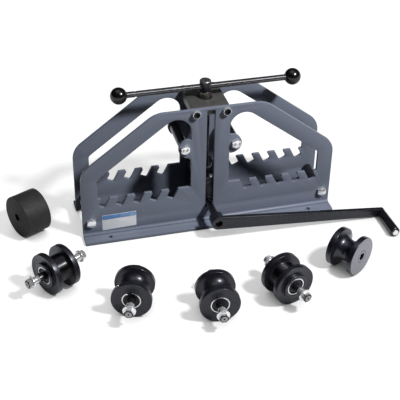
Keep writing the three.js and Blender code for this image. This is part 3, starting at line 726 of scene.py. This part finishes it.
arm = stood(sheet(arm_loops(), ARM, 0.6), -ARM_Y)
hub = stood(bored([(13.6, 98.5), (14.2, 99.1), (14.2, 122.3), (14.1, 122.4)], HEX_STEPS))
dress("crank_arm", [arm, hub], crank)
grip_place = aimed(crank @ Matrix.Translation((CRANK_REACH * MM, 0, 0)), "-y")
grip = [(4.3, 122.8), (7.8, 122.8, 0.4), (8.8, 123.8, 0.6), (10.4, 191.15, 1.2)]
grip += [(8.4, 193.15, 1.0), (6.3, 193.15, 0.3), (6.3, 189.65), (4.3, 189.65)]
dress("crank_grip", [lathe(grip, closed=True)], grip_place)
driver_slot = block((-7, -0.8, 194.0), (7, 0.8, 197), 0.05)
bolt_head = lathe([(0, 189.95), (6, 189.95), (6, 194.95, 0.9), (0, 194.95)])
bolt_shank = lathe([(0, 108.85), (4, 108.85), (4, 190.2), (0, 190.2)], 48)
dress("grip_bolt", [carved(bolt_head, driver_slot), bolt_shank], grip_place)


# Dies: made round Z, which points to the near end
def groove(radius, half, depth, steps=18):
    """A round groove, from its floor in the middle up to its edge."""
    sweep = (half * half + depth * depth) / (2 * depth)
    line = arc(sweep, 0, math.asin(half / sweep), steps)[:-1]
    return [(radius - depth + sweep - x, height) for x, height in line]


def idler_die(outside, end):
    """From the upper half of its outside, with a seat for a bearing in each end."""
    floor = end - BEARING_DEPTH - SEAT_DEPTH
    seat = [(18.4, end, 0.1), (17.8, end - 0.6), (17.8, floor), (12.5, floor, 0.6)]
    upper = outside + seat
    return [lathe(upper + mirrored(upper), 128, closed=True)]


def die_place(node, heading):
    low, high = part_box(node)
    turned = Matrix.Translation((low + high) / 2) @ Matrix.Rotation(math.radians(heading), 4, "Z")
    return aimed(turned, "x")


def bearing_parts():
    """Two rings and a seal; Z points out of the die, from the bearing's outer face."""
    rings = [
        lathe([(15.2, -11), (17.5, -11, 0.5), (17.5, 0, 0.6), (15.2, 0, 0.3)], closed=True),
        lathe([(7.8, -11, 0.4), (10.1, -11), (10.1, 0, 0.3), (7.8, 0, 0.5)], closed=True),
    ]
    seal = [(10.3, -10.2), (15.0, -10.2), (15.0, -0.9), (13.6, -0.5), (11.4, -0.5), (10.3, -0.9)]
    return rings, lathe(seal, closed=True)


def clip_part():
    """An inside circlip: an open ring with two eared ends."""
    outer = arc(17.75, math.radians(14), math.radians(346), 60)
    inner = arc(15.6, math.radians(336), math.radians(24), 60)
    loop = outer + [(13.0, -3.4), (13.4, -5.9)] + inner + [(13.4, 5.9), (13.0, 3.4)]
    return sheet([loop], 1.1, 0.15)


def axle_bolt_parts():
    """A shoulder bolt and its washer, on the axle's own line."""
    shoulder, washer = INNER_Y + 13.5, INNER_Y + 16.5
    stem = [(0, 25.45), (5, 25.45), (5, INNER_Y), (7.5, INNER_Y, 0.4)]
    stem += [(7.5, shoulder), (0, shoulder)]
    disc = [(0, shoulder), (12.2, shoulder, 0.6), (12.2, washer, 0.8), (0, washer)]
    head = hexagon_head(16, washer - 0.5, washer + 9.3, (1.9, 0.7), 0.74)
    return [lathe(stem, 64), lathe(disc), head]


def on_core(centre, normal):
    """The flat core between a flat idler's flanges."""
    return 26 < off_axis(centre) < 26.6 and abs(normal.z) < 0.05


def on_head_end(centre, normal):
    return centre.z > HEAD_START and normal.z > 0.95


def on_head_corners(centre, normal):
    """The turned-off corners and the dimple in the middle, which get painted shade."""
    turned_off = 0.6 < normal.z < 0.95
    return centre.z > HEAD_START and (turned_off or off_axis(centre) < 1.95)


def idler(name, outside, end, heading, gap):
    """Heading and gap are degrees: where the near end points and where the clip is open."""
    place = die_place(f"{name}_die", heading)
    die = dress(f"{name}_die", idler_die(outside, end), place)
    second_look(die, core_steel, on_core)
    dress(f"{name}_axle", [tapped_rod(7.5, ROD_END, 25.15, 0.4)], place)
    for end_name, turn in (("front", 0), ("rear", math.pi)):
        out = place @ Matrix.Rotation(turn, 4, "Y")
        face = out @ Matrix.Translation((0, 0, (end - BEARING_DEPTH) * MM))
        rings, seal = bearing_parts()
        node = f"{name}_{end_name}_bearing"
        dress(node, rings, face, bearing_steel)
        dress(node, [seal], face, rubber_seal, f"{name}_{end_name}_seal", stands_in=False)
        clip = face @ Matrix.Rotation(math.radians(gap), 4, "Z")
        clip = clip @ Matrix.Translation((0, 0, 0.75 * MM))
        dress(node, [clip_part()], clip, LOOKS["zinc"], f"{name}_{end_name}_clip", stands_in=False)
        bolt = dress(f"{name}_{end_name}_bolt", axle_bolt_parts(), out)
        # The bolt's end face gets the darker steel as painted shade.
        second_look(bolt, painted_shade_end_steel, on_head_end)
        # The turned-off corners and the dimple get painted shade.
        second_look(bolt, painted_shade_black, on_head_corners)


flat_outside = [(26.5, 0), (26.5, 14.7, 0.8), (40.8, 14.7, 0.8), (40.8, 25.7, 0.9)]
flat_outside += [(38.2, 25.7, 0.4), (24.9, 23.4, 0.6), (24.5, 29.4, 0.8)]
round_outside = groove(37.7, 18.65, 16.5) + [(37.7, 18.65, 0.9), (37.7, 29.15, 0.9)]
idler("flat_idler_left", flat_outside, 29.4, 210, 290)
idler("flat_idler_right", flat_outside, 29.4, 285.7, 40)
idler("round_idler_left", round_outside, 29.15, 250.8, 190)
idler("round_idler_right", round_outside, 29.15, 264.9, 10)


def on_drive_face(centre, normal):
    return abs(centre.z) > 28.5 and abs(normal.z) > 0.9


def solid_die(node, upper, heading, look=None):
    """A turned die with a hexagon bore."""
    end = upper[-1][1]
    line = [(8.4, -end), *mirrored(upper), *upper, (8.4, end)]
    part = bored(rounded(line, closed=False)[1:-1], 120)
    return dress(node, [part], die_place(node, heading), look)


cylinder = [(42.7, 0), (42.7, 25.85, 1.0), (12.6, 25.85, 0.2), (12.6, 26.25, 0.3)]
solid_die("cylinder_die", cylinder, 205.5, dull_steel)
drive = groove(38.5, 17.5, 17) + [(38.5, 17.5, 0.9), (38.5, 28.7, 1.0)]
drive += [(12.8, 28.7), (12.4, 28.2), (12.0, 28.7)]
grooved = solid_die("round_drive_die", drive, 305.1)
second_look(grooved, faced_steel, on_drive_face)


# Sticker: a bare plate with a coloured band and no words
def sticker(name, corners, thickness, look):
    outline = rounded([(*corner, 1.5) for corner in corners])
    part = stood(sheet([outline], thickness, 0.04), -OUTER_Y - thickness / 2)
    dress("front_side_plate", [part], machine, look, name, stands_in=False)


field = [(-221, 11.6), (-151.5, 13.8), (-151.8, 48.6), (-220.8, 47.0)]
band = [(-220.4, 36.5), (-152.3, 38.4), (-152.4, 48.0), (-220.2, 46.4)]
corner = [(-186, 37.3), (-152.3, 38.4), (-152.4, 48.0), (-183, 47.3)]
sticker("label_field", field, 0.2, sticker_paper)
sticker("label_band", band, 0.3, sticker_blue)
sticker("label_corner", corner, 0.4, sticker_sky)


# Floor and light; the lamp's place is in metres, the floor's reach in millimetres
KEY = (1.0823, -1.0374, 2.025)
FLOOR = 40000
WHITE = (1, 1, 1, 1)
# The floor's brightness everywhere, and the lamp's share of it for one metre
EVEN, LAMP_SHARE = 1.04, 3.55


def floor_look():
    """A grey floor that glows where the lamp's light falls off, so that it looks evenly white.

    Rays that meet the floor straight from the camera or by a mirroring surface see a lighter
    shade than the light that bounces off it. Close to the part the glow fades: this is a painted
    contact shadow on the floor round the part, and a painted darker floor where steel mirrors it.
    """
    look = Look("floor", 0.9, Specular_IOR_Level=0.0)
    look.shader.inputs["Emission Color"].default_value = WHITE
    paths = look.add("ShaderNodeLightPath").outputs
    straight = look.calc("MAXIMUM", paths["Is Camera Ray"], paths["Is Transmission Ray"])
    shown = look.calc("MAXIMUM", straight, paths["Is Glossy Ray"])
    look.colour(shown, (0.10, 0.10, 0.10), (0.56, 0.56, 0.56), 0.0, 1.0)
    apart = look.add("ShaderNodeVectorMath", {0: look.place, 1: KEY}, operation="DISTANCE")
    cube = look.calc("POWER", apart.outputs["Value"], 3.0)
    missing = look.calc("SUBTRACT", EVEN, look.calc("DIVIDE", LAMP_SHARE * KEY[2], cube))
    # Ambient occlusion dims the glow: a painted contact shadow near the part, and painted shade on
    # the floor seen in steel.
    near = look.add("ShaderNodeAmbientOcclusion", {"Distance": 0.08}, samples=8).outputs["AO"]
    wide = look.add("ShaderNodeAmbientOcclusion", {"Distance": 0.25}, samples=4).outputs["AO"]
    direct = look.calc("MULTIPLY", look.spread(near, 0.03, 1.0, 0.18, 0.70), straight)
    in_steel = look.calc("MULTIPLY", look.calc("POWER", wide, 2.0), paths["Is Glossy Ray"])
    glow = look.calc("MULTIPLY", missing, look.calc("ADD", direct, in_steel))
    look.feed(look.shader.inputs["Emission Strength"], glow)
    return look


def add_light(name, kind, energy):
    light = bpy.data.lights.new(name, kind)
    light.energy = energy
    lamp = bpy.data.objects.new(name, light)
    scene.collection.objects.link(lamp)
    return lamp


floor_corners = [(-FLOOR, -FLOOR, 0), (FLOOR, -FLOOR, 0), (FLOOR, FLOOR, 0), (-FLOOR, FLOOR, 0)]
floor = make("floor", [(floor_corners, [(0, 1, 2, 3)])])
floor.data.materials.append(floor_look().material)

key = add_light("key", "POINT", 250)
key.data.shadow_soft_size = 0.15
key.location = KEY

fill = add_light("fill", "SUN", 0.2)
fill.data.angle = math.radians(40)
fill.rotation_euler = Vector((-0.4, 0.8, 0.5)).to_track_quat("Z", "Y").to_euler()
fill.visible_glossy = False

# The sky: dark below and grey above, with two bright patches that only mirroring surfaces see
world = bpy.data.worlds.new("studio")
world.use_nodes = True
sky = Tree(world.node_tree)
direction = sky.add("ShaderNodeTexCoord").outputs["Generated"]
height = sky.add("ShaderNodeSeparateXYZ", {0: direction}).outputs[2]
ramp = sky.add("ShaderNodeValToRGB", {0: height})
shades = ((0.55, (0.018, 0.018, 0.02, 1)), (0.80, (0.105, 0.107, 0.116, 1)))
for stop, (position, shade) in zip(ramp.color_ramp.elements, shades):
    stop.position = position
    stop.color = shade
glow = 0.0
for toward, start, full in ((KEY, 0.88, 0.95), ((-0.1, 0.1, 1), 0.90, 0.96)):
    inputs = {0: direction, 1: Vector(toward).normalized()}
    turned = sky.add("ShaderNodeVectorMath", inputs, operation="DOT_PRODUCT").outputs["Value"]
    patch = sky.spread(turned, 0.0, 1.0, start, full, interpolation_type="SMOOTHSTEP")
    glow = sky.calc("MAXIMUM", glow, patch)
mirrored_rays = sky.add("ShaderNodeLightPath").outputs["Is Glossy Ray"]
shown = sky.calc("MULTIPLY", glow, mirrored_rays)
background = sky.tree.nodes["Background"].inputs["Color"]
sky.feed(background, sky.mix(shown, ramp.outputs[0], WHITE))
scene.world = world
scene.view_settings.view_transform = "Standard"
